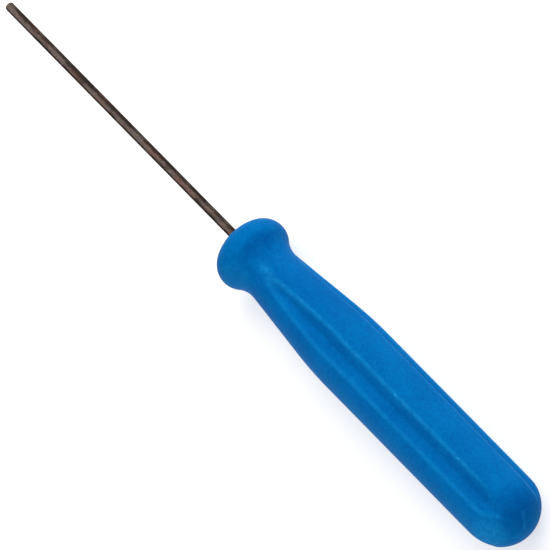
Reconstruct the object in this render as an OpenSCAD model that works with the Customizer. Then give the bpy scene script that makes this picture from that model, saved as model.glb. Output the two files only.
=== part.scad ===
// Hexagon key driver: a straight steel bar moulded into a fluted plastic handle.
// The tool lies on its side along X, tip towards -X, with the bench at z = 0.

/* [Blade] */
// Width across the flats of the hexagon bar
hex_af = 1.5; // [1.3:0.1:3]
// Length of bar in front of the handle
blade_out = 64.5; // [30:0.5:90]
// Length of bar buried in the handle
tang_len = 44; // [25:1:60]
// Diameter of the flat left by the chamfer on the tip
tip_face_d = 1.2; // [0.8:0.05:1.25]
// Angle of the tip chamfer from the axis, in degrees
tip_angle = 45; // [20:5:70]

/* [Tang wings] */
// Span across the two wings swaged on the buried bar
wing_span = 2.8; // [2:0.1:4]
// Thickness of the wings
wing_t = 0.9; // [0.5:0.1:1.2]
// Length of the wings along the bar
wing_len = 8; // [5:0.5:14]
// Length of the ramp at each end of a wing
wing_ramp = 2; // [1:0.25:2.5]
// Plain bar left behind the wings
wing_back = 4; // [1:0.5:10]

/* [Handle] */
// Length of the handle from nose to butt
handle_len = 81; // [60:0.5:110]
// Diameter of the grip over its lands
body_d = 14.3; // [12:0.1:20]
// Diameter of the collar bead
collar_d = 14.3; // [12:0.1:18]
// Radius of the bead's rounded edge
collar_edge_r = 3.6; // [3:0.1:5]
// Radius of the domed nose in front of the bead
nose_r = 9.9; // [8.5:0.1:14]
// Diameter of the neck at its narrowest
neck_d = 10.5; // [9:0.1:11.8]
// Radius of the hollow between bead and neck
neck_r = 6.4; // [4:0.1:9]
// Slope of the grip from the neck up to its full diameter, in degrees
taper_angle = 5.8; // [4.5:0.1:11]
// Radius of the soft shoulder where the slope meets the full diameter
shoulder_r = 82; // [20:1:120]

/* [Flutes] */
// Number of flutes round the grip
flute_count = 4; // [3:1:6]
// Width of a flute between its two ridges
flute_w = 4.2; // [3:0.05:5.5]
// Depth of a flute's root below the lands of the grip
flute_depth = 1.2; // [0.7:0.05:1.8]
// Radius in the root of a flute
flute_root_r = 0.8; // [0.4:0.1:1.6]
// Distance from the nose to the front end of the straight root
flute_front = 16.4; // [14:0.1:22]
// Depth of the root below the slope at that front end
flute_front_depth = 0.6; // [0.3:0.05:1.2]
// Radius on which the root rises out of the slope in front of that end
flute_runout_r = 15; // [6:0.5:25]

/* [Fit] */
// Gap between the bar and the plastic moulded round it
bond_gap = 0.01; // [0:0.005:0.05]

/* [Hidden] */
$fn = 96;

// Overlap that joins neighbouring arcs where they run tangent
lap = 0.0005;
// Length past every face that a cut goes through
cut = 1;

// Overall length, and height of the axis above the bench
tool_len = blade_out + handle_len;
axis_z = max(body_d, collar_d) / 2;
bar_len = blade_out + tang_len;

// Stations along the handle, measured from the nose
body_r = body_d / 2;
bead_r = collar_d / 2 - collar_edge_r;
nose_back = sqrt(pow(nose_r - collar_edge_r, 2) - bead_r * bead_r);
bead_z = nose_r - nose_back;
hollow_r = neck_d / 2 + neck_r;
hollow_z = bead_z + sqrt(pow(collar_edge_r + neck_r, 2) - pow(hollow_r - bead_r, 2));
taper_r0 = hollow_r - neck_r * cos(taper_angle);
taper_z0 = hollow_z + neck_r * sin(taper_angle);
taper_z1 = taper_z0 + (body_r - taper_r0) / tan(taper_angle);
shoulder_z0 = taper_z1 - shoulder_r * tan(taper_angle / 2) * cos(taper_angle);
shoulder_z1 = taper_z1 + shoulder_r * tan(taper_angle / 2) - lap / sin(taper_angle);
butt_z = handle_len - body_r;

// Radius of the slope at distance z from the nose
function taper_r(z) = taper_r0 + (z - taper_z0) * tan(taper_angle);

// Flute section: two walls that rise from a round root to the ridges
ridge_r = sqrt(body_r * body_r - flute_w * flute_w / 4);
ridge_h = ridge_r - (body_r - flute_depth);
wall_reach = norm([flute_w / 2, flute_root_r - ridge_h]);
wall_angle = asin(flute_root_r / wall_reach) - atan2(flute_root_r - ridge_h, flute_w / 2);
flute_open = flute_depth + cut;

// Flute root: a sloping run over the taper and the shoulder, then a level run out through the butt
root_r0 = taper_r(flute_front) - flute_front_depth;
root_r1 = body_r - flute_depth;
root_rise = atan2(root_r1 - root_r0, shoulder_z1 - flute_front);
root_run = norm([root_r1 - root_r0, shoulder_z1 - flute_front]);
root_cross = (shoulder_z1 - flute_front) / 4;

// Outline of the handle from its axis outwards, nose at the bottom
module handle_outline() {
    far = 2 * nose_r;
    bead_dir = [bead_r, -nose_back] / norm([bead_r, nose_back]);
    intersection() {
        union() {
            intersection() {
                translate([0, nose_r]) circle(nose_r);
                polygon([[0, nose_r], [0, nose_r - far], [0, nose_r] + far * bead_dir]);
            }
            translate([bead_r, bead_z]) circle(collar_edge_r + lap);
            difference() {
                polygon([
                    [0, bead_z],
                    [bead_r, bead_z],
                    [hollow_r, hollow_z],
                    [taper_r0, taper_z0],
                    [taper_r(shoulder_z0), shoulder_z0],
                    [0, shoulder_z0]
                ]);
                translate([hollow_r, hollow_z]) circle(neck_r + lap);
            }
            intersection() {
                translate([body_r - shoulder_r, shoulder_z1]) circle(shoulder_r);
                translate([0, shoulder_z0 - cut]) square([body_d, shoulder_z1 - shoulder_z0 + 2 * cut]);
            }
            translate([0, shoulder_z1]) square([body_r, butt_z - shoulder_z1]);
            translate([0, butt_z]) circle(body_r);
        }
        translate([0, -cut]) square([body_d + collar_d, handle_len + 2 * cut]);
    }
}

// Section of a flute: its root touches the origin and it opens towards +X
module flute_section() {
    crest = flute_root_r * (1 / cos(wall_angle) - 1);
    side = (flute_open + crest) / tan(wall_angle);
    foot = flute_root_r * [1 - cos(wall_angle), sin(wall_angle)];
    polygon([foot, [flute_open, side], [flute_open, -side], [foot.x, -foot.y]]);
    translate([flute_root_r, 0]) circle(flute_root_r + lap);
}

// Wheel with the flute section on its rim, touching the origin, for a root that rises on an arc
module flute_runout() {
    translate([flute_runout_r, 0, 0])
        rotate([90, 0, 0])
            rotate_extrude()
                translate([flute_runout_r + lap, 0])
                    mirror([1, 0])
                        flute_section();
}

// One flute, on the +X side of the handle
module flute() {
    translate([root_r0, 0, flute_front]) rotate([0, root_rise, 0]) {
        linear_extrude(root_run + root_cross) flute_section();
        flute_runout();
    }
    translate([root_r1, 0, shoulder_z1 - root_cross])
        linear_extrude(handle_len - shoulder_z1 + root_cross + cut) flute_section();
}

// Hexagon bar with a flat towards the flutes, grown on every side by gap
module hex_bar(z0, z1, gap = 0) {
    translate([0, 0, z0])
        rotate(30)
            cylinder(r = (hex_af / 2 + gap) / cos(30), h = z1 - z0, $fn = 6);
}

// Wings squeezed out of two opposite corners of the buried bar, grown on every side by gap
module tang_wings(gap = 0) {
    root = hex_af / 4;
    tip = wing_span / 2 + gap;
    z0 = tang_len - wing_back - wing_len - gap;
    z1 = tang_len - wing_back + gap;
    rotate([90, 0, 90])
        linear_extrude(wing_t + 2 * gap, center = true)
            polygon([
                [-root, z0],
                [root, z0],
                [tip, z0 + wing_ramp],
                [tip, z1 - wing_ramp],
                [root, z1],
                [-root, z1],
                [-tip, z1 - wing_ramp],
                [-tip, z0 + wing_ramp]
            ]);
}

// Turns the tool from standing on its tip to lying on the bench
module lay_down() {
    translate([blade_out - tool_len / 2, 0, axis_z])
        rotate([0, 90, 0])
            children();
}

module handle() {
    color("dodgerblue")
        lay_down()
            difference() {
                rotate_extrude() handle_outline();
                for (i = [0 : flute_count - 1])
                    rotate(i * 360 / flute_count) flute();
                hex_bar(-cut, tang_len + bond_gap, bond_gap);
                tang_wings(bond_gap);
            }
}

module blade() {
    color("dimgray")
        lay_down() {
            intersection() {
                hex_bar(-blade_out, tang_len);
                translate([0, 0, -blade_out])
                    cylinder(d1 = tip_face_d, d2 = tip_face_d + 2 * bar_len * tan(tip_angle), h = bar_len);
            }
            tang_wings();
        }
}

handle();
blade();
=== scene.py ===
"""Looks of a small hexagon key driver: a moulded blue handle on a blackened steel bar.

Lengths are metres in the part's own frame: X runs from the tip to the butt, Z points up from the bench and
the tool's axis lies half a grip above it. Angles round the axis start at +Z and turn towards +Y.
"""

import logging
import math
from dataclasses import dataclass, field
from enum import Enum

import bpy
import numpy as np
from mathutils import Matrix, Vector


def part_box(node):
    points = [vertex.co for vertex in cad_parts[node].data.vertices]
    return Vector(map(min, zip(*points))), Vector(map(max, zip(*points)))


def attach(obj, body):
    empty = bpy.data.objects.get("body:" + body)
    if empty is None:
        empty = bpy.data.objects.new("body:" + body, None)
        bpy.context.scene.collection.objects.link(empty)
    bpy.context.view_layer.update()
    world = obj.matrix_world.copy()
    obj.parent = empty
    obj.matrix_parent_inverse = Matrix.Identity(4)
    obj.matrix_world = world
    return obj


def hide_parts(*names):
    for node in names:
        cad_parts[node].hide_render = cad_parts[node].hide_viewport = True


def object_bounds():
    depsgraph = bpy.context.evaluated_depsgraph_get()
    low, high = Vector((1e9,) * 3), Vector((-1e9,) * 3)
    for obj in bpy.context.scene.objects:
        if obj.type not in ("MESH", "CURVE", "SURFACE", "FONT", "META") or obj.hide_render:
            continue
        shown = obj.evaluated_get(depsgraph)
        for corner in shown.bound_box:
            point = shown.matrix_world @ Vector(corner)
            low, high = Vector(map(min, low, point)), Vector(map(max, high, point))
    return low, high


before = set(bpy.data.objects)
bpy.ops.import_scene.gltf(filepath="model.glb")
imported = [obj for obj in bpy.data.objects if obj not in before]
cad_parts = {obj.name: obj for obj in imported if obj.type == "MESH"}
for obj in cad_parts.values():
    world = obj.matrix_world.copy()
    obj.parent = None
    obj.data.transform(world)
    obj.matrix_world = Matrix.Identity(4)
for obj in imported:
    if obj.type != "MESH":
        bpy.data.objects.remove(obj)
CAD_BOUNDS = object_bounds()

LOG = logging.getLogger("driver")
MM = 0.001
BODY = "root"
HEX_SECTOR = math.pi / 3

Colour = tuple[float, float, float, float]
Triple = tuple[float, float, float]
Node = bpy.types.Node
Socket = bpy.types.NodeSocket

WHITE: Colour = (1.0, 1.0, 1.0, 1.0)


class Mark(Enum):
    """Values that a mesh holds for each of its points, and that its finish reads."""

    # Paler places: wear on the bar and the handle's ridges, and painted highlights and painted light on the
    # handle.
    WEAR_AND_PAINTED_LIGHT = "wear_and_painted_light"
    # Painted shade on the handle: in the flutes, behind the bead, on the neck and slope, and on faces turned
    # one way.
    PAINTED_SHADE = "painted_shade"
    # Paleness of the bar's oxide on each face, partly painted light: the top face paler, the faces beside it
    # darker.
    PAINTED_FACE_LIGHT = "face"


def arc(centre: tuple[float, float], radius: float, start: float, stop: float, count: int) -> np.ndarray:
    """Samples an arc in the plane of distance along the tool and distance from its axis.

    A point is centre + radius * (sin a, cos a), for angles a in even steps from start up to stop, which is
    left to the next stretch. A negative radius gives the hollow side of the circle.

    Args:
        centre: Distance along the tool and distance from the axis.
        radius: Radius of the arc, negative for a hollow.
        start: First angle from the outward direction, in radians.
        stop: Angle at which the arc ends.
        count: Number of points.

    Returns:
        Array of count by 2.
    """
    angle = np.linspace(start, stop, count, endpoint=False)
    return np.array(centre) + radius * np.stack([np.sin(angle), np.cos(angle)], axis=-1)


def line(start: tuple[float, float], stop: tuple[float, float], count: int) -> np.ndarray:
    """Samples a straight stretch of an outline in even steps, without its last point."""
    return np.linspace(start, stop, count, endpoint=False)


def smooth_step(value: np.ndarray, low: float, high: float) -> np.ndarray:
    """Rises smoothly from 0 at low to 1 at high: 3 * x^2 - 2 * x^3, with x the clipped share of the way.

    Args:
        value: Values to map.
        low: Value at which the step starts.
        high: Value at which it ends.

    Returns:
        The mapped values.
    """
    share = np.clip((value - low) / (high - low), 0, 1)
    return share**2 * (3 - 2 * share)


def off_middle(angle: np.ndarray, sector: float) -> np.ndarray:
    """Takes angles from the middle of the nearest of equal sectors, of which the first lies at angle 0."""
    return (angle + sector / 2) % sector - sector / 2


def rounded_min(first: np.ndarray, second: np.ndarray, width: np.ndarray | float) -> np.ndarray:
    """Takes the lesser of two heights, with the corner between them rounded.

    Where the heights differ by less than width, the lesser one is lowered by
    (width - difference)^2 / (4 * width), so that one surface runs smoothly into the other.

    Args:
        first: Heights of one surface.
        second: Heights of the other surface.
        width: Difference of height over which the corner is rounded.

    Returns:
        The joined heights.
    """
    near = np.maximum(width - np.abs(first - second), 0)
    return np.minimum(first, second) - near**2 / (4 * width)


@dataclass
class RingSurface:
    """A closed surface of rings that follow each other along the tool.

    Attributes:
        points: Array of rings by points round the axis by three coordinates.
        marks: Values for each point, by their names.
    """

    points: np.ndarray
    marks: dict[Mark, np.ndarray] = field(default_factory=dict)

    def faces(self) -> list[list[int]]:
        """Joins each ring to the next with quads and closes both end rings with fans.

        Returns:
            Corner numbers of every face, turned so that the normals point outwards. The two poles come last
            among the points.
        """
        rings, around, _ = self.points.shape
        index = np.arange(rings * around).reshape(rings, around)
        turned = np.roll(index, -1, axis=1)
        quads = np.stack([index[:-1], index[1:], turned[1:], turned[:-1]], axis=-1).reshape(-1, 4)
        first_pole = np.full(around, rings * around)
        start_fan = np.stack([first_pole, index[0], turned[0]], axis=-1)
        end_fan = np.stack([index[-1], first_pole + 1, turned[-1]], axis=-1)
        return quads.tolist() + start_fan.tolist() + end_fan.tolist()

    def build(self, name: str) -> bpy.types.Object:
        """Makes a smooth mesh object of the surface, with its marks as attributes.

        Args:
            name: Name of the object and of its mesh.

        Returns:
            The new object, linked to the scene.
        """
        poles = self.points[[0, -1]].mean(axis=1)
        vertices = np.concatenate([self.points.reshape(-1, 3), poles])
        mesh = bpy.data.meshes.new(name)
        mesh.from_pydata(vertices.tolist(), [], self.faces())
        mesh.shade_smooth()
        for mark, values in self.marks.items():
            attribute = mesh.attributes.new(mark.value, "FLOAT", "POINT")
            ends = values[[0, -1]].mean(axis=1)
            attribute.data.foreach_set("value", np.concatenate([values.ravel(), ends]).astype(np.float32))
        piece = bpy.data.objects.new(name, mesh)
        bpy.context.scene.collection.objects.link(piece)
        return piece


def ring_points(along: np.ndarray, radius: np.ndarray, angle: np.ndarray, axis_z: float) -> np.ndarray:
    """Turns polar values round the tool's axis into points of the part's frame.

    A point is (along, radius * sin(angle), axis_z + radius * cos(angle)).

    Args:
        along: Distance along X, for each ring and angle.
        radius: Distance from the axis, for each ring and angle.
        angle: Angles round the axis.
        axis_z: Height of the axis above the bench.

    Returns:
        Array of rings by angles by 3.
    """
    along, radius, angle = np.broadcast_arrays(along, radius, angle)
    return np.stack([along, radius * np.sin(angle), axis_z + radius * np.cos(angle)], axis=-1)


class ShaderSheet:
    """Adds nodes and links to one shader tree."""

    def __init__(self, tree: bpy.types.NodeTree) -> None:
        """Takes the tree that the nodes go into."""
        self.tree = tree

    def set_inputs(self, node: Node, inputs: dict[str | int, object]) -> None:
        """Sets inputs of a node.

        Args:
            node: Node of this tree.
            inputs: Values, or output sockets to link, by the names or numbers of the inputs.
        """
        for name, value in inputs.items():
            if isinstance(value, Socket):
                self.tree.links.new(value, node.inputs[name])
            else:
                node.inputs[name].default_value = value

    def add(self, kind: str, inputs: dict[str | int, object] | None = None, **settings: object) -> Node:
        """Adds one node.

        Args:
            kind: Blender's type name of the node.
            inputs: Values or output sockets for the node's inputs, by name or number.
            settings: Properties of the node.

        Returns:
            The new node.
        """
        node = self.tree.nodes.new(kind)
        for name, value in settings.items():
            setattr(node, name, value)
        self.set_inputs(node, inputs or {})
        return node

    def math(self, operation: str, first: object, second: object = 0.0) -> Socket:
        """Adds a Math node on two values or sockets and returns its output."""
        return self.add("ShaderNodeMath", {0: first, 1: second}, operation=operation).outputs[0]

    def weigh(self, value: object, weight: object) -> Socket:
        """Multiplies a value or socket by a weight and returns the product."""
        return self.math("MULTIPLY", value, weight)

    def mix(self, factor: object, first: object, second: object) -> Socket:
        """Adds a colour mix from first to second and returns its output."""
        node = self.add("ShaderNodeMix", {0: factor, 6: first, 7: second}, data_type="RGBA")
        return node.outputs[2]

    def ramp(
        self, value: object, low: object, high: object, start: float = 0.0, stop: float = 1.0
    ) -> Socket:
        """Adds a smooth step of a value.

        Args:
            value: Value or socket to map.
            low: Value at which the step starts.
            high: Value at which the step ends.
            start: Output up to low.
            stop: Output from high on.

        Returns:
            The step's output.
        """
        inputs = {"Value": value, "From Min": low, "From Max": high, "To Min": start, "To Max": stop}
        return self.add("ShaderNodeMapRange", inputs, interpolation_type="SMOOTHSTEP").outputs[0]

    def mark(self, mark: Mark) -> Socket:
        """Adds a reader of one of the piece's marks and returns its output."""
        return self.add("ShaderNodeAttribute", attribute_name=mark.value).outputs["Fac"]

    def mask(self, tree: bpy.types.NodeTree, inputs: dict[str | int, object]) -> Socket:
        """Places a node group and returns its Mask."""
        return self.add("ShaderNodeGroup", inputs, node_tree=tree).outputs["Mask"]


def new_group(
    name: str, vectors: tuple[str, ...], floats: tuple[str, ...]
) -> tuple[ShaderSheet, Node, Node]:
    """Starts a shader node group with named inputs and one output, Mask.

    Args:
        name: Name of the group.
        vectors: Names of the vector inputs.
        floats: Names of the other inputs.

    Returns:
        A sheet on the group's tree, its input node and its output node.
    """
    tree = bpy.data.node_groups.new(name, "ShaderNodeTree")
    for names, kind in ((vectors, "NodeSocketVector"), (floats, "NodeSocketFloat")):
        for socket in names:
            tree.interface.new_socket(name=socket, in_out="INPUT", socket_type=kind)
    tree.interface.new_socket(name="Mask", in_out="OUTPUT", socket_type="NodeSocketFloat")
    sheet = ShaderSheet(tree)
    return sheet, sheet.add("NodeGroupInput"), sheet.add("NodeGroupOutput")


class SharedEffects:
    """Node groups that both finishes use, built once."""

    def __init__(self) -> None:
        """Builds the groups."""
        self.mottle = self.build_mottle()
        self.wear = self.build_broken_mark()
        self.hairlines = self.build_hairlines()
        self.nick = self.build_nick()

    @staticmethod
    def stretched(sheet: ShaderSheet, given: Node) -> Socket:
        """Divides the X of a group's Vector by its Stretch, so that a pattern runs along the tool."""
        shrink = sheet.math("DIVIDE", 1.0, given.outputs["Stretch"])
        scale = sheet.add("ShaderNodeCombineXYZ", {"X": shrink, "Y": 1.0, "Z": 1.0})
        inputs = {0: given.outputs["Vector"], 1: scale.outputs[0]}
        return sheet.add("ShaderNodeVectorMath", inputs, operation="MULTIPLY").outputs[0]

    def build_mottle(self) -> bpy.types.NodeTree:
        """Soft patches of a given size, stretched along the tool: noise with its middle values spread out.

        Returns:
            The group's tree.
        """
        sheet, given, made = new_group("mottle", ("Vector",), ("Size", "Stretch", "Seed"))
        inputs = {
            "Vector": self.stretched(sheet, given),
            "W": given.outputs["Seed"],
            "Scale": sheet.math("DIVIDE", 1.0, given.outputs["Size"]),
            "Detail": 3.0,
            "Roughness": 0.55,
        }
        noise = sheet.add("ShaderNodeTexNoise", inputs, noise_dimensions="4D")
        sheet.set_inputs(made, {"Mask": sheet.ramp(noise.outputs["Fac"], low=0.32, high=0.68)})
        return sheet.tree

    def build_broken_mark(self) -> bpy.types.NodeTree:
        """A mark broken up by noise, so that it comes and goes: the bar's wear, and on the handle the worn
        ridges, which stand in part for a painted highlight, the painted highlights and light, and the painted
        shade.

        Returns:
            The group's tree.
        """
        sheet, given, made = new_group("broken_mark", ("Vector",), ("Edge", "Size", "Amount"))
        inputs = {
            "Vector": given.outputs["Vector"],
            "Scale": sheet.math("DIVIDE", 1.0, given.outputs["Size"]),
            "Detail": 4.0,
            "Roughness": 0.6,
        }
        noise = sheet.add("ShaderNodeTexNoise", inputs)
        patchy = sheet.ramp(noise.outputs["Fac"], low=0.3, high=0.7, start=0.35)
        worn = sheet.weigh(sheet.weigh(given.outputs["Edge"], patchy), given.outputs["Amount"])
        sheet.set_inputs(made, {"Mask": sheet.add("ShaderNodeClamp", {"Value": worn}).outputs[0]})
        return sheet.tree

    def build_hairlines(self) -> bpy.types.NodeTree:
        """Fine lines: the places where a stretched noise crosses its middle value, kept in some patches only.

        Returns:
            The group's tree.
        """
        sheet, given, made = new_group("hairlines", ("Vector",), ("Size", "Stretch", "Width", "Seed"))
        scale = sheet.math("DIVIDE", 1.0, given.outputs["Size"])
        inputs = {
            "Vector": self.stretched(sheet, given),
            "W": given.outputs["Seed"],
            "Scale": scale,
            "Detail": 1.0,
        }
        noise = sheet.add("ShaderNodeTexNoise", inputs, noise_dimensions="4D")
        off = sheet.math("ABSOLUTE", sheet.math("SUBTRACT", noise.outputs["Fac"], 0.5))
        share = sheet.math("DIVIDE", off, given.outputs["Width"])
        drawn = sheet.ramp(share, low=0.4, high=1.0, start=1.0, stop=0.0)
        patch_inputs = {
            "Vector": given.outputs["Vector"],
            "W": given.outputs["Seed"],
            "Scale": sheet.weigh(scale, 0.5),
            "Detail": 2.0,
        }
        patch = sheet.add("ShaderNodeTexNoise", patch_inputs, noise_dimensions="4D")
        kept = sheet.weigh(drawn, sheet.ramp(patch.outputs["Fac"], low=0.5, high=0.65))
        sheet.set_inputs(made, {"Mask": kept})
        return sheet.tree

    @staticmethod
    def build_nick() -> bpy.types.NodeTree:
        """One straight streak, for scratches and for painted glints: it fades out at a given distance from
        the line between two points.

        With p the place seen from the first point and q the second one, the nearest share of the line is
        p . q / q . q, kept between 0 and 1, and the distance is the length of p - share * q.

        Returns:
            The group's tree.
        """
        sheet, given, made = new_group("nick", ("Vector", "From", "To"), ("Width",))

        def vector(operation: str, first: object, second: object) -> Node:
            """Adds a Vector Math node."""
            return sheet.add("ShaderNodeVectorMath", {0: first, 1: second}, operation=operation)

        seen = vector("SUBTRACT", given.outputs["Vector"], given.outputs["From"]).outputs[0]
        span = vector("SUBTRACT", given.outputs["To"], given.outputs["From"]).outputs[0]
        reach = vector("DOT_PRODUCT", seen, span).outputs["Value"]
        whole = vector("DOT_PRODUCT", span, span).outputs["Value"]
        share = sheet.add("ShaderNodeClamp", {"Value": sheet.math("DIVIDE", reach, whole)}).outputs[0]
        spread = sheet.add("ShaderNodeCombineXYZ", {"X": share, "Y": share, "Z": share}).outputs[0]
        foot = vector("MULTIPLY", span, spread).outputs[0]
        off = vector("DISTANCE", seen, foot).outputs["Value"]
        faded = sheet.ramp(off, low=0.0, high=given.outputs["Width"], start=1.0, stop=0.0)
        sheet.set_inputs(made, {"Mask": faded})
        return sheet.tree


def new_material(name: str) -> tuple[bpy.types.Material, ShaderSheet, Node]:
    """Starts a material.

    Args:
        name: Name of the material.

    Returns:
        The material, a sheet on its empty tree, and its Principled shader, which is joined to the output.
    """
    material = bpy.data.materials.new(name)
    material.use_nodes = True
    material.node_tree.nodes.clear()
    sheet = ShaderSheet(material.node_tree)
    shader = sheet.add("ShaderNodeBsdfPrincipled")
    sheet.add("ShaderNodeOutputMaterial", {"Surface": shader.outputs[0]})
    return material, sheet, shader


@dataclass(frozen=True)
class Patches:
    """A soft patchy pattern.

    Attributes:
        size: Size of the patches.
        stretch: How many times longer they are along the tool.
        seed: Number that sets where they lie.
    """

    size: float
    stretch: float
    seed: float

    def mask(self, sheet: ShaderSheet, effects: SharedEffects, place: Socket) -> Socket:
        """Adds the pattern at the given coordinates to a material and returns its mask."""
        inputs = {"Vector": place, "Size": self.size, "Stretch": self.stretch, "Seed": self.seed}
        return sheet.mask(effects.mottle, inputs)


@dataclass(frozen=True)
class Hairlines(Patches):
    """A pattern of fine lines, of the size and stretch of the patches that they go round.

    Attributes:
        width: Width of a line, as a share of the pattern's height.
    """

    width: float

    def mask(self, sheet: ShaderSheet, effects: SharedEffects, place: Socket) -> Socket:
        """Adds the lines at the given coordinates to a material and returns their mask."""
        inputs = {"Vector": place, "Size": self.size, "Stretch": self.stretch, "Seed": self.seed}
        return sheet.mask(effects.hairlines, inputs | {"Width": self.width})


@dataclass(frozen=True)
class MarkBreakup:
    """How a mark on the piece is broken up.

    Attributes:
        size: Size of the gaps in it.
        amount: Strength of the mark.
    """

    size: float
    amount: float

    def mask(self, sheet: ShaderSheet, effects: SharedEffects, place: Socket, mark: Mark) -> Socket:
        """Adds the broken mark to a material and returns its mask."""
        inputs = {"Vector": place, "Edge": sheet.mark(mark), "Size": self.size, "Amount": self.amount}
        return sheet.mask(effects.wear, inputs)


@dataclass(frozen=True)
class Nick:
    """A short pale streak on the plastic, with its places and its width in millimetres. Some are scratches,
    some painted glints.

    Attributes:
        start: Place of one end.
        stop: Place of the other end.
        width: Distance from the line at which it has faded out.
        strength: How pale it is.
    """

    start: Triple
    stop: Triple
    width: float
    strength: float

    def mask(self, sheet: ShaderSheet, effects: SharedEffects, place: Socket) -> Socket:
        """Adds the scratch to a material and returns its mask."""
        start, stop = [[value * MM for value in end] for end in (self.start, self.stop)]
        inputs = {"Vector": place, "From": start, "To": stop, "Width": self.width * MM}
        return sheet.weigh(sheet.mask(effects.nick, inputs), self.strength)


@dataclass(frozen=True)
class MouldedPlastic:
    """Satin blue plastic: slightly uneven colour with a fine moulded grain, paler on the ridges, part wear
    and part painted highlight, with a painted highlight on the neck and painted light and shade on some
    sides.

    Attributes:
        blue: Colour of the plastic.
        deep: Colour of its darker patches.
        wear_and_painted_light: Colour of the paler places: worn ridges and scuffs, and painted highlights and
            painted light.
        painted_shade: Colour of the painted shade.
        nick_and_glint: Colour of the scratches and the painted glints.
        gloss_tint: Colour of reflections seen straight on.
        gloss: Strength of reflections.
        roughness: Roughness of the moulded skin.
        cloud: Broad patches of the colour and the grain.
        speckle: Fine patches of them.
        cloud_share: Share of the broad patches in the colour. The fine ones have the rest.
        speckle_roughness: Roughness that the fine patches add.
        speckle_height: Height of the fine patches in the grain, where the broad ones have 1.
        grain_height: Height of the grain.
        grain_strength: How much of it shows.
        light_and_wear_breakup: How the paler places are broken up.
        shade_breakup: How the painted shade is broken up.
        scuffs: Fine scuffs along the grip.
        scuff_slant: Angle between the scuffs and the tool's axis.
        scuff_ends: Turn of the surface towards tip or butt at which the scuffs start to fade and are gone.
        scuff_paleness: How pale the scuffs are.
        scuff_roughness: Roughness that they add.
        nicks_and_glints: The scratches, and two painted glints on a ridge.
    """

    blue: Colour = (0.0006, 0.196, 0.565, 1.0)
    deep: Colour = (0.0004, 0.134, 0.44, 1.0)
    wear_and_painted_light: Colour = (0.008, 0.285, 0.7, 1.0)
    painted_shade: Colour = (0.0008, 0.105, 0.43, 1.0)
    nick_and_glint: Colour = (0.02, 0.36, 0.85, 1.0)
    gloss_tint: Colour = (0.05, 0.7, 1.0, 1.0)
    gloss: float = 0.03
    roughness: float = 0.5
    cloud: Patches = Patches(size=4 * MM, stretch=2.0, seed=1.0)
    speckle: Patches = Patches(size=0.45 * MM, stretch=1.0, seed=2.0)
    cloud_share: float = 0.4
    speckle_roughness: float = 0.05
    speckle_height: float = 0.5
    grain_height: float = 0.02 * MM
    grain_strength: float = 0.3
    light_and_wear_breakup: MarkBreakup = MarkBreakup(size=0.8 * MM, amount=1.0)
    shade_breakup: MarkBreakup = MarkBreakup(size=2 * MM, amount=0.8)
    scuffs: Hairlines = Hairlines(size=1.2 * MM, stretch=14.0, seed=3.0, width=0.01)
    scuff_slant: float = math.radians(12)
    scuff_ends: tuple[float, float] = (0.2, 0.5)
    scuff_paleness: float = 0.25
    scuff_roughness: float = 0.15
    nicks_and_glints: tuple[Nick, ...] = (
        # The first two are painted glints on the upper ridge; the last two are scratches on the butt.
        Nick((39.2, 2.02, 13.92), (39.5, 2.02, 13.92), 0.3, 1.0),
        Nick((56.5, 2.02, 13.92), (56.8, 2.02, 13.92), 0.26, 0.9),
        Nick((71.29, 2.82, 10.43), (72.6, 0.56, 8.45), 0.55, 0.25),
        Nick((71.0, 3.3, 9.9), (71.9, 1.9, 9.6), 0.45, 0.15),
    )

    def nick_and_glint_mask(self, sheet: ShaderSheet, effects: SharedEffects, place: Socket) -> object:
        """Takes the greatest of the masks of all scratches and painted glints."""
        mask: object = 0.0
        for nick in self.nicks_and_glints:
            mask = sheet.math("MAXIMUM", mask, nick.mask(sheet, effects, place))
        return mask

    def scuff_mask(self, sheet: ShaderSheet, effects: SharedEffects, place: Socket) -> Socket:
        """Draws the scuffs, which fade out where the surface turns towards the tip or the butt.

        Args:
            sheet: Sheet of the material.
            effects: Node groups that the finishes share.
            place: Object coordinates.

        Returns:
            The mask of the scuffs.
        """
        slanted = sheet.add("ShaderNodeMapping", {"Vector": place, "Rotation": (0, 0, self.scuff_slant)})
        drawn = self.scuffs.mask(sheet, effects, slanted.outputs[0])
        normal = sheet.add("ShaderNodeNewGeometry").outputs["Normal"]
        endwise = sheet.math("ABSOLUTE", sheet.add("ShaderNodeSeparateXYZ", {0: normal}).outputs["X"])
        return sheet.weigh(drawn, sheet.ramp(endwise, *self.scuff_ends, start=1.0, stop=0.0))

    def material(self, effects: SharedEffects) -> bpy.types.Material:
        """Builds the material.

        Args:
            effects: Node groups that the finishes share.

        Returns:
            The material.
        """
        material, sheet, shader = new_material("handle_plastic")
        place = sheet.add("ShaderNodeTexCoord").outputs["Object"]
        cloud = self.cloud.mask(sheet, effects, place)
        speckle = self.speckle.mask(sheet, effects, place)
        light_and_wear_breakup = self.light_and_wear_breakup.mask(sheet, effects, place, Mark.WEAR_AND_PAINTED_LIGHT)
        shade_breakup = self.shade_breakup.mask(sheet, effects, place, Mark.PAINTED_SHADE)
        scuff = self.scuff_mask(sheet, effects, place)
        cloudy = sheet.weigh(cloud, self.cloud_share)
        patches = sheet.math("ADD", cloudy, sheet.weigh(speckle, 1 - self.cloud_share))
        colour = sheet.mix(patches, self.deep, self.blue)
        # Painted shade: darker in the flutes, behind the bead, on the neck and slope, and on faces turned one
        # way.
        colour = sheet.mix(shade_breakup, colour, self.painted_shade)
        # Paler: worn ridges with a painted highlight, a painted highlight on the neck, painted light on one
        # side.
        colour = sheet.mix(light_and_wear_breakup, colour, self.wear_and_painted_light)
        colour = sheet.mix(sheet.weigh(scuff, self.scuff_paleness), colour, self.wear_and_painted_light)
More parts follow.
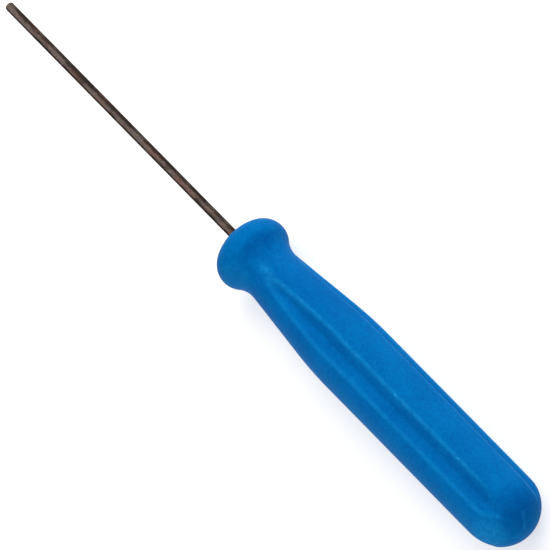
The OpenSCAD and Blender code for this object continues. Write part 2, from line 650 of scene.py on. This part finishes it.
        # Scratches on the butt, and painted glints on the upper ridge.
        colour = sheet.mix(self.nick_and_glint_mask(sheet, effects, place), colour, self.nick_and_glint)
        rough = sheet.math("ADD", self.roughness, sheet.weigh(scuff, self.scuff_roughness))
        rough = sheet.math("ADD", rough, sheet.weigh(speckle, self.speckle_roughness))
        height = sheet.math("ADD", sheet.weigh(speckle, self.speckle_height), cloud)
        grain = {"Height": height, "Strength": self.grain_strength, "Distance": self.grain_height}
        inputs = {
            "Base Color": colour,
            "Roughness": rough,
            "Normal": sheet.add("ShaderNodeBump", grain).outputs[0],
            "Specular IOR Level": self.gloss,
            "Specular Tint": self.gloss_tint,
        }
        sheet.set_inputs(shader, inputs)
        return material


@dataclass(frozen=True)
class BlackenedSteel:
    """Black oxide on drawn steel: dark on most faces, brown on the others, worn pale on the tip. Which faces
    are
    brown is partly painted light: the top face is painted paler and the two faces beside it darker.

    Attributes:
        black: Colour of the sound oxide.
        umber: Colour of its brown patches.
        rust: Colour of the reddish patches where the oxide is thin.
        olive: Colour of the greenish patches there.
        bare: Colour of the worn tip and corners.
        edge_tint: Colour of reflections at a glancing angle.
        roughness: Roughness of the oxide.
        red: Reddish patches.
        ragged: Patches that break up the edge of the thin oxide.
        ragged_share: What they add to how thin the oxide is on a face.
        thin_range: Sum of the face mark and the patches at which the thin oxide's colour starts, and at which
            it is full.
        grain: Fine grain of the oxide.
        grain_share: How dark the grain is.
        grain_roughness: Roughness that it adds.
        drawn: Lines that drawing has left along the bar.
        grain_height: Height of the grain and depth of the lines.
        grain_strength: How much of them shows.
        wear: How the worn places are broken up.
        worn_polish: Roughness that wear takes away.
    """

    black: Colour = (0.027, 0.022, 0.0215, 1.0)
    umber: Colour = (0.047, 0.027, 0.02, 1.0)
    rust: Colour = (0.2, 0.108, 0.086, 1.0)
    olive: Colour = (0.142, 0.12, 0.106, 1.0)
    bare: Colour = (0.155, 0.125, 0.095, 1.0)
    edge_tint: Colour = (0.125, 0.11, 0.1, 1.0)
    roughness: float = 0.45
    red: Patches = Patches(size=1.8 * MM, stretch=2.5, seed=11.0)
    ragged: Patches = Patches(size=1.2 * MM, stretch=2.5, seed=12.0)
    ragged_share: float = 0.9
    thin_range: tuple[float, float] = (0.6, 1.5)
    grain: Patches = Patches(size=0.2 * MM, stretch=1.3, seed=13.0)
    grain_share: float = 0.45
    grain_roughness: float = 0.12
    drawn: Hairlines = Hairlines(size=0.4 * MM, stretch=30.0, seed=14.0, width=0.02)
    grain_height: float = 0.01 * MM
    grain_strength: float = 0.4
    wear: MarkBreakup = MarkBreakup(size=0.6 * MM, amount=0.6)
    worn_polish: float = 0.1

    def material(self, effects: SharedEffects) -> bpy.types.Material:
        """Builds the material.

        Args:
            effects: Node groups that the finishes share.

        Returns:
            The material.
        """
        material, sheet, shader = new_material("bar_steel")
        place = sheet.add("ShaderNodeTexCoord").outputs["Object"]
        red = self.red.mask(sheet, effects, place)
        ragged = self.ragged.mask(sheet, effects, place)
        grain = self.grain.mask(sheet, effects, place)
        drawn = self.drawn.mask(sheet, effects, place)
        worn = self.wear.mask(sheet, effects, place, Mark.WEAR_AND_PAINTED_LIGHT)
        sound = sheet.mix(red, self.black, self.umber)
        thin = sheet.mix(red, self.olive, self.rust)
        # Paleness of the oxide: the face mark, partly painted light, and the ragged patches.
        thin_oxide_and_light = sheet.math("ADD", sheet.mark(Mark.PAINTED_FACE_LIGHT), sheet.weigh(ragged, self.ragged_share))
        colour = sheet.mix(sheet.ramp(thin_oxide_and_light, *self.thin_range), sound, thin)
        colour = sheet.mix(sheet.weigh(grain, self.grain_share), colour, self.black)
        colour = sheet.mix(worn, colour, self.bare)
        rough = sheet.math("ADD", self.roughness, sheet.weigh(grain, self.grain_roughness))
        rough = sheet.math("SUBTRACT", rough, sheet.weigh(worn, self.worn_polish))
        height = sheet.math("SUBTRACT", grain, drawn)
        relief = {"Height": height, "Strength": self.grain_strength, "Distance": self.grain_height}
        inputs = {
            "Base Color": colour,
            "Roughness": rough,
            "Normal": sheet.add("ShaderNodeBump", relief).outputs[0],
            "Metallic": 1.0,
            "Specular Tint": self.edge_tint,
        }
        sheet.set_inputs(shader, inputs)
        return material


@dataclass
class Blade:
    """The hexagon bar: a chamfered tip, a straight shank, and a tang with two wings inside the handle.

    Attributes:
        tip_x: Place of the flat end of the tip.
        tang_x: Place of the buried end.
        nose_x: Place where the bar leaves the handle.
        axis_z: Height of the axis above the bench.
        half_flat: Distance from the axis to a flat.
        corner_radius: Radius on the six long corners.
        tip_face_radius: Radius of the flat that the chamfer leaves on the tip.
        tip_slope: Angle of the chamfer from the axis.
        wing_span: Half of the span across the wings.
        wing_thickness: Half of the thickness of a wing.
        wing_length: Length of a wing.
        wing_ramp: Length of the ramp at each end of a wing.
        wing_back: Plain bar behind the wings.
        tip_edge: Difference of height over which the edge of the chamfer is rounded.
        faces: Paleness of each of the six faces, from the top face on; the top one painted pale, the two
            beside it dark.
        corner_shade: How much darker each face is painted towards its corners, as shade.
        corner_rub: How much the corners are worn.
        corner_reach: Reach of that rubbing, in corner radii.
        tip_reach: Reach of the rubbing on the tip.
        tip_rings: Rings along the chamfer.
        shank_rings: Rings along the shank.
        around: Points round the bar.
    """

    tip_x: float
    tang_x: float
    nose_x: float
    axis_z: float
    half_flat: float
    corner_radius: float = 0.07 * MM
    tip_face_radius: float = 0.6 * MM
    tip_slope: float = math.radians(45)
    wing_span: float = 1.4 * MM
    wing_thickness: float = 0.45 * MM
    wing_length: float = 8 * MM
    wing_ramp: float = 2 * MM
    wing_back: float = 4 * MM
    tip_edge: float = 0.02 * MM
    faces: tuple[float, ...] = (0.95, 0.28, 0.5, 0.8, 0.4, 0.3)
    corner_shade: float = 0.5
    corner_rub: float = 0.12
    corner_reach: float = 1.2
    tip_reach: float = 1.6 * MM
    tip_rings: int = 12
    shank_rings: int = 60
    around: int = 240

    @classmethod
    def from_frame(cls) -> "Blade":
        """Takes the bar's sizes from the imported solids."""
        low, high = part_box("blade")
        handle_low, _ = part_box("handle")
        return cls(low.x, high.x, handle_low.x, (low.z + high.z) / 2, (high.z - low.z) / 2)

    def wing_stations(self, gap: float = 0.0) -> list[float]:
        """Places along X where a wing's ramps start and end, with the wing grown by gap."""
        end = self.tang_x - self.wing_back + gap
        start = end - self.wing_length - 2 * gap
        return [start, start + self.wing_ramp, end - self.wing_ramp, end]

    def hexagon(self, angle: np.ndarray, gap: float = 0.0) -> np.ndarray:
        """Distance from the axis to a hexagon with a flat at angle 0 and rounded corners.

        On a flat it is flat / cos(a), with a the angle from the flat's middle. On a corner it is the far side
        of a circle of corner_radius, centred on the line to the corner.

        Args:
            angle: Angles round the axis.
            gap: Growth of every flat.

        Returns:
            The distances.
        """
        half = HEX_SECTOR / 2
        from_flat = off_middle(angle, HEX_SECTOR)
        from_corner = half - np.abs(from_flat)
        flat = self.half_flat + gap
        centre = (flat - self.corner_radius) / math.cos(half)
        under = np.maximum(self.corner_radius**2 - (centre * np.sin(from_corner)) ** 2, 0)
        corner = centre * np.cos(from_corner) + np.sqrt(under)
        straight = flat / np.cos(from_flat)
        touches = np.abs(np.tan(from_flat)) * flat > (flat - self.corner_radius) * math.tan(half)
        return np.where(touches, corner, straight)

    def section(self, along: np.ndarray, angle: np.ndarray, gap: float = 0.0) -> np.ndarray:
        """Distance from the axis to the bar: the farther of the hexagon and the wings.

        A wing is a flat plate along Y, whose half span rises and falls on its ramps.

        Args:
            along: Places along X.
            angle: Angles round the axis.
            gap: Growth on every side.

        Returns:
            The distances.
        """
        root = self.half_flat / 2
        tip = self.wing_span + gap
        span = np.interp(along, self.wing_stations(gap), [root, tip, tip, root])
        tiny = 1e-9
        side = span / np.maximum(np.abs(np.sin(angle)), tiny)
        face = (self.wing_thickness + gap) / np.maximum(np.abs(np.cos(angle)), tiny)
        return np.maximum(self.hexagon(angle, gap), np.minimum(side, face))

    def surface(self) -> RingSurface:
        """Carries the bar's section along the tool and cuts its front end with the chamfer's cone.

        The cone's radius is tip_face_radius plus the distance from the tip times the slope's tangent.

        Returns:
            The bar's surface, with its tip and corners marked as worn, and the paleness of its faces marked,
            which is partly painted light.
        """
        corner = self.hexagon(np.array([HEX_SECTOR / 2]))[0]
        chamfer = (corner - self.tip_face_radius) / math.tan(self.tip_slope)
        tip = np.linspace(self.tip_x, self.tip_x + chamfer, self.tip_rings, endpoint=False)
        shank = np.linspace(self.tip_x + chamfer, self.nose_x, self.shank_rings, endpoint=False)
        tang = np.array([self.nose_x, *self.wing_stations(), self.tang_x])
        along = np.concatenate([tip, shank, tang])[:, None]
        angle = np.linspace(0, 2 * math.pi, self.around, endpoint=False)[None, :]
        cone = self.tip_face_radius + (along - self.tip_x) * math.tan(self.tip_slope)
        radius = rounded_min(self.section(along, angle), cone, self.tip_edge)
        number = np.round(angle / HEX_SECTOR).astype(int)
        off_flat = np.abs(off_middle(angle, HEX_SECTOR)) / (HEX_SECTOR / 2)
        # Face mark: top face painted pale as if lit, the faces beside it dark as if shaded, each face darker
        # towards its corners.
        face = np.array(self.faces)[number % len(self.faces)] - self.corner_shade * off_flat**2
        off_corner = (1 - off_flat) * HEX_SECTOR / 2 * corner / (self.corner_reach * self.corner_radius)
        corner_mark = self.corner_rub * np.exp(-(off_corner**2))
        tip_mark = np.exp(-(((along - self.tip_x) / self.tip_reach) ** 2))
        marks = {
            Mark.WEAR_AND_PAINTED_LIGHT: np.maximum(corner_mark, tip_mark),
            Mark.PAINTED_FACE_LIGHT: np.broadcast_to(face, radius.shape),
        }
        return RingSurface(ring_points(along, radius, angle, self.axis_z), marks)

    def build(self, finish: bpy.types.Material) -> bpy.types.Object:
        """Makes the bar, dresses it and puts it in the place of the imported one.

        Args:
            finish: Material of the bar.

        Returns:
            The finished piece.
        """
        piece = self.surface().build("blade_bar")
        piece.data.materials.append(finish)
        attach(piece, BODY)
        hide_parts("blade")
        return piece


@dataclass(frozen=True)
class HandWearAndPaintedLight:
    """Paler and darker places on the handle: worn ridges that also stand for a painted highlight, a painted
    highlight on the neck, painted light on faces turned one way, and painted shade.

    Attributes:
        ridge_height: Height difference of grip and flute over which a ridge is worn and painted as a
            highlight.
        push_fade: Stretch in front of the butt's dome over which the pushed ridges fade.
        idle_ridge_paleness: How pale the other ridges are made.
        neck_highlight: Strength of the painted highlight on the neck in front of each flute.
        neck_back: Place of that patch behind the start of the slope.
        neck_turn: Angle of the patch from the flute's middle.
        neck_length: Half length of the patch.
        neck_width: Half width of the patch.
        lit_side: Direction of the faces that get painted light all over.
        lit_range: Share of that direction at which this starts, and at which it is full.
        side_light: How much painted light those faces get.
        butt_light: What is added to it on the butt's dome.
        butt_fade: Stretch in front of the dome over which it is added.
        flute_shade: Painted shade at the bottom of a flute.
        slope_shade: Painted shade behind the bead, on the neck and on the slope.
        slope_lead: Distance behind the bead's middle at which that shade starts.
        slope_fade: Distance in front of the slope's end at which it starts to fade.
        shade_side: Direction of the faces that get painted shade.
        shade_range: Share of that direction at which the shade starts, and at which it is full.
    """

    ridge_height: float = 0.55 * MM
    push_fade: float = 5 * MM
    idle_ridge_paleness: float = 0.55
    neck_highlight: float = 0.9
    neck_back: float = 0.4 * MM
    neck_turn: float = math.radians(8)
    neck_length: float = 1.9 * MM
    neck_width: float = 0.9 * MM
    lit_side: Triple = (0.5, -0.62, 0.6)
    lit_range: tuple[float, float] = (0.8, 1.0)
    side_light: float = 0.4
    butt_light: float = 0.5
    butt_fade: float = 8 * MM
    flute_shade: float = 0.3
    slope_shade: float = 0.4
    slope_lead: float = 1 * MM
    slope_fade: float = 5 * MM
    shade_side: Triple = (0.7, 0.4, 0.59)
    shade_range: tuple[float, float] = (0.72, 0.98)


@dataclass
class Handle:
    """The moulded handle: domed nose, collar bead, neck, fluted grip and round butt.

    Distances along the handle are measured from the nose.

    Attributes:
        blade: The bar that the handle is moulded round.
        nose_x: Place of the nose.
        length: Length from nose to butt.
        axis_z: Height of the axis above the bench.
        grip_radius: Radius of the grip over its lands, and of the collar bead.
        nose_radius: Radius of the dome in front of the bead.
        bead_edge: Radius of the bead's rounded edge.
        neck_radius: Radius of the neck at its narrowest.
        neck_hollow: Radius of the hollow between bead and neck.
        taper: Slope of the grip behind the neck.
        shoulder: Radius where the slope meets the full grip.
        flute_count: Number of flutes.
        flute_width: Width of a flute between its ridges.
        flute_depth: Depth of a flute below the lands.
        flute_root: Radius in the root of a flute.
        flute_front: Front end of the straight root.
        flute_front_depth: Depth of the root there, below the slope.
        flute_runout: Radius on which the root rises in front of that end.
        ridge_blend: Difference of height over which a ridge is rounded.
        end_blend: What is added to it where a flute starts and where it runs out.
        front_stretch: Stretch over which this fades, from the front end of the straight root.
        butt_stretch: Stretch over which it comes in again, from the start of the butt's dome.
        turn_blend: Difference of height over which the root's turn at the shoulder is rounded.
        wear: Paler and darker places: worn ridges, painted highlights, painted light and painted shade.
        seam_height: Height of the moulding seam on two opposite lands.
        seam_width: Half width of the seam.
        bond_gap: Gap between the plastic and the bar.
        lip: Size of the small lip where the bar leaves the nose.
        mouth_radius: Radius at which the domed nose starts, just outside that lip.
        settling: Rounds in which the radius of a flute is settled.
        around: Points round the handle.
    """

    blade: Blade
    nose_x: float
    length: float
    axis_z: float
    grip_radius: float
    nose_radius: float = 9.9 * MM
    bead_edge: float = 3.6 * MM
    neck_radius: float = 5.25 * MM
    neck_hollow: float = 6.4 * MM
    taper: float = math.radians(5.8)
    shoulder: float = 82 * MM
    flute_count: int = 4
    flute_width: float = 4.2 * MM
    flute_depth: float = 1.2 * MM
    flute_root: float = 0.8 * MM
    flute_front: float = 16.4 * MM
    flute_front_depth: float = 0.6 * MM
    flute_runout: float = 15 * MM
    ridge_blend: float = 0.22 * MM
    end_blend: float = 0.35 * MM
    front_stretch: tuple[float, float] = (-2 * MM, 6 * MM)
    butt_stretch: tuple[float, float] = (-3 * MM, 2 * MM)
    turn_blend: float = 0.1 * MM
    wear: HandWearAndPaintedLight = HandWearAndPaintedLight()
    seam_height: float = 0.015 * MM
    seam_width: float = 0.12 * MM
    bond_gap: float = 0.01 * MM
    lip: float = 0.08 * MM
    mouth_radius: float = 1.1 * MM
    settling: int = 12
    around: int = 480

    def __post_init__(self) -> None:
        """Works out the centres of the outline's arcs and the slope of the flutes."""
        bead_r = self.grip_radius - self.bead_edge
        nose_back = math.sqrt((self.nose_radius - self.bead_edge) ** 2 - bead_r**2)
        self.bead = (self.nose_radius - nose_back, bead_r)
        hollow_r = self.neck_radius + self.neck_hollow
        reach = self.bead_edge + self.neck_hollow
        self.hollow = (self.bead[0] + math.sqrt(reach**2 - (hollow_r - bead_r) ** 2), hollow_r)
        self.taper_start = (
            self.hollow[0] + self.neck_hollow * math.sin(self.taper),
            hollow_r - self.neck_hollow * math.cos(self.taper),
        )
        self.taper_end = self.taper_start[0] + (self.grip_radius - self.taper_start[1]) / math.tan(self.taper)
        self.shoulder_end = self.taper_end + self.shoulder * math.tan(self.taper / 2)
        self.butt_centre = self.length - self.grip_radius
        self.flute_sector = 2 * math.pi / self.flute_count
        half_width = self.flute_width / 2
        ridge_height = math.sqrt(self.grip_radius**2 - half_width**2) - (self.grip_radius - self.flute_depth)
        below = self.flute_root - ridge_height
        turn = math.asin(self.flute_root / math.hypot(half_width, below))
        self.wall_slope = turn - math.atan2(below, half_width)
        front_radius = self.taper_start[1] + (self.flute_front - self.taper_start[0]) * math.tan(self.taper)
        self.root_front = front_radius - self.flute_front_depth
        self.root_back = self.grip_radius - self.flute_depth
        self.root_rise = math.atan2(self.root_back - self.root_front, self.shoulder_end - self.flute_front)

    @classmethod
    def from_frame(cls, blade: Blade) -> "Handle":
        """Takes the handle's length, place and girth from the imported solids."""
        low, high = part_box("handle")
        return cls(blade, low.x, high.x - low.x, (low.z + high.z) / 2, (high.z - low.z) / 2)

    def outline(self) -> np.ndarray:
        """Runs along the handle's outline, from beside the bar to the butt.

        It is a chain of arcs and lines that meet without a corner: nose, bead, hollow, slope, shoulder, grip
        and butt.

        Returns:
            Array of stations by distance along the handle and distance from the axis.
        """
        mouth = math.asin(self.mouth_radius / self.nose_radius)
        right = math.pi / 2
        nose_turn = math.atan2(self.bead[0] - self.nose_radius, self.bead[1])
        neck_turn = math.atan2(self.hollow[0] - self.bead[0], self.hollow[1] - self.bead[1])
        shoulder_centre = (self.shoulder_end, self.grip_radius - self.shoulder)
        shoulder_start = tuple(arc(shoulder_centre, self.shoulder, -self.taper, 0, 1)[0])
        grip_start = (self.shoulder_end, self.grip_radius)
        grip_stop = (self.butt_centre, self.grip_radius)
        return np.concatenate(
            [
                arc((self.nose_radius, 0), self.nose_radius, mouth - right, nose_turn, count=16),
                arc(self.bead, self.bead_edge, nose_turn, neck_turn, count=28),
                arc(self.hollow, -self.neck_hollow, neck_turn, -self.taper, count=20),
                line(self.taper_start, shoulder_start, count=44),
                arc(shoulder_centre, self.shoulder, -self.taper, 0, count=16),
                line(grip_start, grip_stop, count=12),
                arc((self.butt_centre, 0), self.grip_radius, 0, right, count=56),
            ]
        )

    def flute_floor(self, along: np.ndarray, aside: np.ndarray) -> np.ndarray:
        """Height of a flute's surface above the axis.

        Across the flute, the floor is a round root and two straight walls. Along it, the root comes in on an
        arc, climbs in a straight line over the slope, and runs level along the grip and out through the butt.

        Args:
            along: Distances along the handle.
            aside: Distances from the flute's middle plane.

        Returns:
            The heights.
        """
        tangent = math.tan(self.wall_slope)
        root = self.flute_root
        wall = np.abs(aside) * tangent - root * (1 / math.cos(self.wall_slope) - 1)
        rounded = root - np.sqrt(np.maximum(root**2 - aside**2, 0))
        rise = np.where(np.abs(aside) < root * math.sin(self.wall_slope), rounded, wall)
        wheel = self.flute_runout - rise
        climb = self.root_front + (along - self.flute_front) * math.tan(self.root_rise)
        climb = climb + rise / math.cos(self.root_rise)
        front_x = self.flute_front - self.flute_runout * math.sin(self.root_rise)
        front_r = self.root_front + self.flute_runout * math.cos(self.root_rise)
        front = front_r - np.sqrt(np.maximum(wheel**2 - (along - front_x) ** 2, 0))
        climb = np.where(along < front_x + wheel * math.sin(self.root_rise), front, climb)
        level = np.where(along < self.flute_front, np.inf, self.root_back + rise)
        return rounded_min(climb, level, self.turn_blend)

    def flute_radius(self, along: np.ndarray, angle: np.ndarray) -> np.ndarray:
        """Distance from the axis to the nearest flute's surface.

        A point at radius r and angle a from the flute's middle lies r * sin(a) aside and r * cos(a) high, so
        r is floor(r * sin(a)) / cos(a). A few rounds from the grip's radius settle it.

        Args:
            along: Distances along the handle.
            angle: Angles round the axis.

        Returns:
            The distances.
        """
        off = off_middle(angle, self.flute_sector)
        radius = np.full(np.broadcast(along, off).shape, self.grip_radius)
        for _ in range(self.settling):
            radius = self.flute_floor(along, radius * np.sin(off)) / np.cos(off)
        return radius

    def marks(self, outline: np.ndarray, flutes: np.ndarray, angle: np.ndarray) -> dict[Mark, np.ndarray]:
        """Marks the paler plastic and the painted shade.

        Ridges are paler where grip and flute lie close in height, more on the side that takes the turning
        push; this is part wear and part painted highlight. A patch of the neck in front of each flute gets a
        painted highlight. Painted shade lies in the flutes, behind the bead, on the neck and on the slope.
        Faces that look towards lit_side get painted light, more so on the butt, and faces that look towards
        shade_side get painted shade, by the product of that direction and the outline's normal.

        Args:
            outline: Distance along the handle and distance from the axis, for each ring.
            flutes: Distance from the axis to the flutes, for each ring and angle.
            angle: Angles round the axis.

        Returns:
            Values for each ring and angle.
        """
        along, plain = outline[:, :1], outline[:, 1:]
        tangent = np.gradient(outline, axis=0)
        tangent = tangent / np.linalg.norm(tangent, axis=1, keepdims=True)
        outward = tangent[:, :1]
        normal = (-tangent[:, 1:], outward * np.sin(angle), outward * np.cos(angle))
        wear = self.wear
        lit_facing = sum(part * side for part, side in zip(normal, wear.lit_side))
        shade_facing = sum(part * side for part, side in zip(normal, wear.shade_side))
        # Ridges, worn and painted as a highlight, more on the pushed side.
        ridge = np.clip(1 - np.abs(plain - flutes) / wear.ridge_height, 0, 1)
        off = off_middle(angle, self.flute_sector)
        pushed = 1 - smooth_step(along, self.butt_centre - wear.push_fade, self.butt_centre)
        ridge = ridge * np.where(off > 0, pushed, wear.idle_ridge_paleness)
        # Painted highlight on the neck in front of each flute.
        ahead = (along - self.taper_start[0] - wear.neck_back) / wear.neck_length
        aside = (off - wear.neck_turn) * plain / wear.neck_width
        neck = wear.neck_highlight * np.exp(-(ahead**2) - aside**2)
        # Painted light on faces turned one way, more on the butt.
        butt = smooth_step(along, self.butt_centre - wear.butt_fade, self.butt_centre)
        turned = smooth_step(lit_facing, *wear.lit_range) * (wear.side_light + wear.butt_light * butt)
        wear_and_painted_light = np.maximum(np.maximum(ridge, neck), turned)
        # Painted shade in the flutes, behind the bead, on the neck and slope, and on faces turned one way.
        sunk = wear.flute_shade * np.clip((plain - flutes) / self.flute_depth, 0, 1)
        faded = 1 - smooth_step(along, self.taper_end - wear.slope_fade, self.shoulder_end)
        slope = wear.slope_shade * smooth_step(along, self.bead[0] + wear.slope_lead, self.hollow[0]) * faded
        painted_shade = np.maximum(np.maximum(sunk, slope), smooth_step(shade_facing, *wear.shade_range))
        return {Mark.WEAR_AND_PAINTED_LIGHT: wear_and_painted_light, Mark.PAINTED_SHADE: painted_shade}

    def bore(self, angle: np.ndarray) -> tuple[np.ndarray, np.ndarray]:
        """Rings of the hole that the bar fills, from its closed end to the lip on the nose.

        Args:
            angle: Angles round the axis.

        Returns:
            Distances along X and distances from the axis, for each ring and angle.
        """
        end = self.blade.tang_x + self.bond_gap
        wings = self.blade.wing_stations(self.bond_gap)[::-1]
        inner = np.array([end, *wings, self.nose_x + 2 * self.lip])[:, None]
        radius = self.blade.section(inner, angle, self.bond_gap)
        mouth = self.blade.hexagon(angle, self.bond_gap + self.lip)
        mouth_x = self.nose_x + self.nose_radius - np.sqrt(self.nose_radius**2 - mouth**2)
        along = np.concatenate([np.broadcast_to(inner, radius.shape), mouth_x])
        return along, np.concatenate([radius, mouth])

    def surface(self) -> RingSurface:
        """Turns the outline round the axis, sinks the flutes into it and lines the bar's hole.

        The radius is the lesser of the outline's and the flutes', with ridges that are rounded more at both
        ends of the flutes, and a fine seam stands on two opposite lands.

        Returns:
            The handle's surface, with its marks.
        """
        angle = np.linspace(0, 2 * math.pi, self.around, endpoint=False)[None, :]
        outline = self.outline()
        along = outline[:, :1]
        plain = np.broadcast_to(outline[:, 1:], (len(outline), self.around))
        flutes = self.flute_radius(along, angle)
        front, back = [self.flute_front + reach for reach in self.front_stretch]
        dome, pole = [self.butt_centre + reach for reach in self.butt_stretch]
        ends = smooth_step(-along, -back, -front) + smooth_step(along, dome, pole)
        radius = rounded_min(plain, flutes, self.ridge_blend + self.end_blend * ends)
        off_seam = np.abs(off_middle(angle - self.flute_sector / 2, math.pi)) * plain
        radius = radius + self.seam_height * np.exp(-((off_seam / self.seam_width) ** 2))
        bore_x, bore_radius = self.bore(angle)
        outside = ring_points(self.nose_x + along, radius, angle, self.axis_z)
        inside = ring_points(bore_x, bore_radius, angle, self.axis_z)
        lining = np.zeros(bore_radius.shape)
        outer_marks = self.marks(outline, flutes, angle)
        marks = {mark: np.concatenate([lining, values]) for mark, values in outer_marks.items()}
        return RingSurface(np.concatenate([inside, outside]), marks)

    def build(self, finish: bpy.types.Material) -> bpy.types.Object:
        """Makes the handle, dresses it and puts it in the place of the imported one.

        Args:
            finish: Material of the handle.

        Returns:
            The finished piece.
        """
        piece = self.surface().build("handle_moulding")
        piece.data.materials.append(finish)
        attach(piece, BODY)
        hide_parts("handle")
        return piece


@dataclass(frozen=True)
class Softbox:
    """A square lamp that looks at the middle of the tool.

    Attributes:
        name: Name of the lamp.
        heading: Direction of the lamp over the bench, in degrees from +X towards +Y.
        height: Angle of the lamp above the bench, in degrees.
        power: Power in watts.
        side: Width of the lamp.
        distance: Distance from the tool.
    """

    name: str
    heading: float
    height: float
    power: float
    side: float = 0.35
    distance: float = 0.7

    def build(self, target: Vector) -> bpy.types.Object:
        """Makes the lamp.

        Args:
            target: Point that the lamp looks at.

        Returns:
            The lamp's object.
        """
        lamp = bpy.data.lights.new(self.name, "AREA")
        lamp.energy = self.power
        lamp.size = self.side
        heading, height = math.radians(self.heading), math.radians(self.height)
        flat = math.cos(height)
        direction = Vector((math.cos(heading) * flat, math.sin(heading) * flat, math.sin(height)))
        piece = bpy.data.objects.new(self.name, lamp)
        piece.location = target + self.distance * direction
        piece.rotation_euler = direction.to_track_quat("Z", "Y").to_euler()
        bpy.context.scene.collection.objects.link(piece)
        return piece


@dataclass
class Studio:
    """Pale bench, soft lamps, and a camera over the tool at the photograph's angle.

    Attributes:
        centre: Middle of the tool's axis.
        view_width: Width of the bench that the picture spans.
        view_turn: Turn of the camera about the vertical, in degrees.
        view_tilt: Tilt of the camera about the tool's axis, in degrees, towards +Y.
        view_swing: Swing of the tilted camera towards the butt, in degrees.
        view_along: Distance from the tool's middle to the middle of the picture, along the tool.
        view_across: The same across the tool.
        lens: Focal length in millimetres, long enough for a nearly flat view.
        bench_side: Width of the bench.
        bench_colour: Colour of the bench.
        bench_roughness: Roughness of the bench.
        bench_glow: Light that the bench adds for the camera, so that it shows white.
        sky: Brightness of the room.
        lamps: The lamps.
    """

    centre: Vector
    view_width: float = 96.44 * MM
    view_turn: float = 45.5
    view_tilt: float = 12.85
    view_swing: float = 27.0
    view_along: float = 2.45 * MM
    view_across: float = 0.19 * MM
    lens: float = 1600.0
    bench_side: float = 4.0
    bench_colour: Colour = (0.8, 0.8, 0.8, 1.0)
    bench_roughness: float = 0.8
    bench_glow: float = 0.52
    sky: float = 0.38
    lamps: tuple[Softbox, ...] = (
        Softbox("left_low", 120, 12, 0.84),
        Softbox("left_key", 120, 35, 1.11),
        Softbox("left_high", 90, 58, 0.7),
        Softbox("nose_high", 150, 58, 0.9),
        Softbox("right_low", 300, 12, 1.0),
        Softbox("right_high", 300, 58, 0.3),
    )

    def build_camera(self) -> bpy.types.Object:
        """Makes the camera: it looks straight down, turned with the picture, then swings and tilts.

        Returns:
            The camera's object, which the scene uses.
        """
        data = bpy.data.cameras.new("photo_camera")
        data.lens = self.lens
        camera = bpy.data.objects.new("photo_camera", data)
        tilt = Matrix.Rotation(-math.radians(self.view_tilt), 4, "X")
        look = tilt @ Matrix.Rotation(math.radians(self.view_swing), 4, "Y")
        turn = Matrix.Rotation(math.radians(self.view_turn), 4, "Z")
        distance = self.view_width * data.lens / data.sensor_width
        aim = self.centre + Vector((self.view_along, 0, 0)) + tilt @ Vector((0, self.view_across, 0))
        camera.matrix_world = Matrix.Translation(aim + look @ Vector((0, 0, distance))) @ look @ turn
        bpy.context.scene.collection.objects.link(camera)
        bpy.context.scene.camera = camera
        return camera

    @staticmethod
    def shown_rays(sheet: ShaderSheet) -> Socket:
        """Gives 1 for rays that show the background, straight, mirrored or through glass, else 0."""
        rays = sheet.add("ShaderNodeLightPath").outputs
        shown = sheet.math("MAXIMUM", rays["Is Camera Ray"], rays["Is Glossy Ray"])
        return sheet.math("MAXIMUM", shown, rays["Is Transmission Ray"])

    def build_bench(self) -> bpy.types.Object:
        """Makes the bench: one large flat face, which glows a little for the rays that show it.

        Returns:
            The bench's object.
        """
        half = self.bench_side / 2
        corners = np.array([[-half, -half, 0], [half, -half, 0], [half, half, 0], [-half, half, 0]])
        mesh = bpy.data.meshes.new("bench")
        mesh.from_pydata(corners.tolist(), [], [[0, 1, 2, 3]])
        bench = bpy.data.objects.new("bench", mesh)
        bpy.context.scene.collection.objects.link(bench)
        material, sheet, shader = new_material("bench_white")
        inputs = {
            "Base Color": self.bench_colour,
            "Roughness": self.bench_roughness,
            "Specular IOR Level": 0.0,
            "Emission Color": WHITE,
            "Emission Strength": sheet.weigh(self.shown_rays(sheet), self.bench_glow),
        }
        sheet.set_inputs(shader, inputs)
        mesh.materials.append(material)
        return bench

    def build_room(self) -> bpy.types.World:
        """Makes the even light of the room, which shows as white.

        Returns:
            The world, which the scene uses.
        """
        world = bpy.data.worlds.new("room")
        world.use_nodes = True
        light = world.node_tree.nodes["Background"]
        sheet = ShaderSheet(world.node_tree)
        strength = sheet.math("MAXIMUM", self.shown_rays(sheet), self.sky)
        sheet.set_inputs(light, {"Color": WHITE, "Strength": strength})
        bpy.context.scene.world = world
        return world

    def build(self) -> None:
        """Makes the camera, the bench, the room and the lamps."""
        bpy.context.scene.view_settings.view_transform = "Standard"
        self.build_camera()
        self.build_bench()
        self.build_room()
        for lamp in self.lamps:
            lamp.build(self.centre)


def report(piece: bpy.types.Object) -> None:
    """Logs a piece's name, points and faces."""
    LOG.info("%s: %d points, %d faces", piece.name, len(piece.data.vertices), len(piece.data.polygons))


def main() -> None:
    """Builds the bar, the handle and the studio round them."""
    logging.basicConfig(level=logging.INFO, format="%(name)s: %(message)s")
    effects = SharedEffects()
    blade = Blade.from_frame()
    report(blade.build(BlackenedSteel().material(effects)))
    handle = Handle.from_frame(blade)
    report(handle.build(MouldedPlastic().material(effects)))
    low, high = CAD_BOUNDS
    middle = (low + high) / 2
    Studio(Vector((middle.x, middle.y, handle.axis_z))).build()


if __name__ == "__main__":
    main()
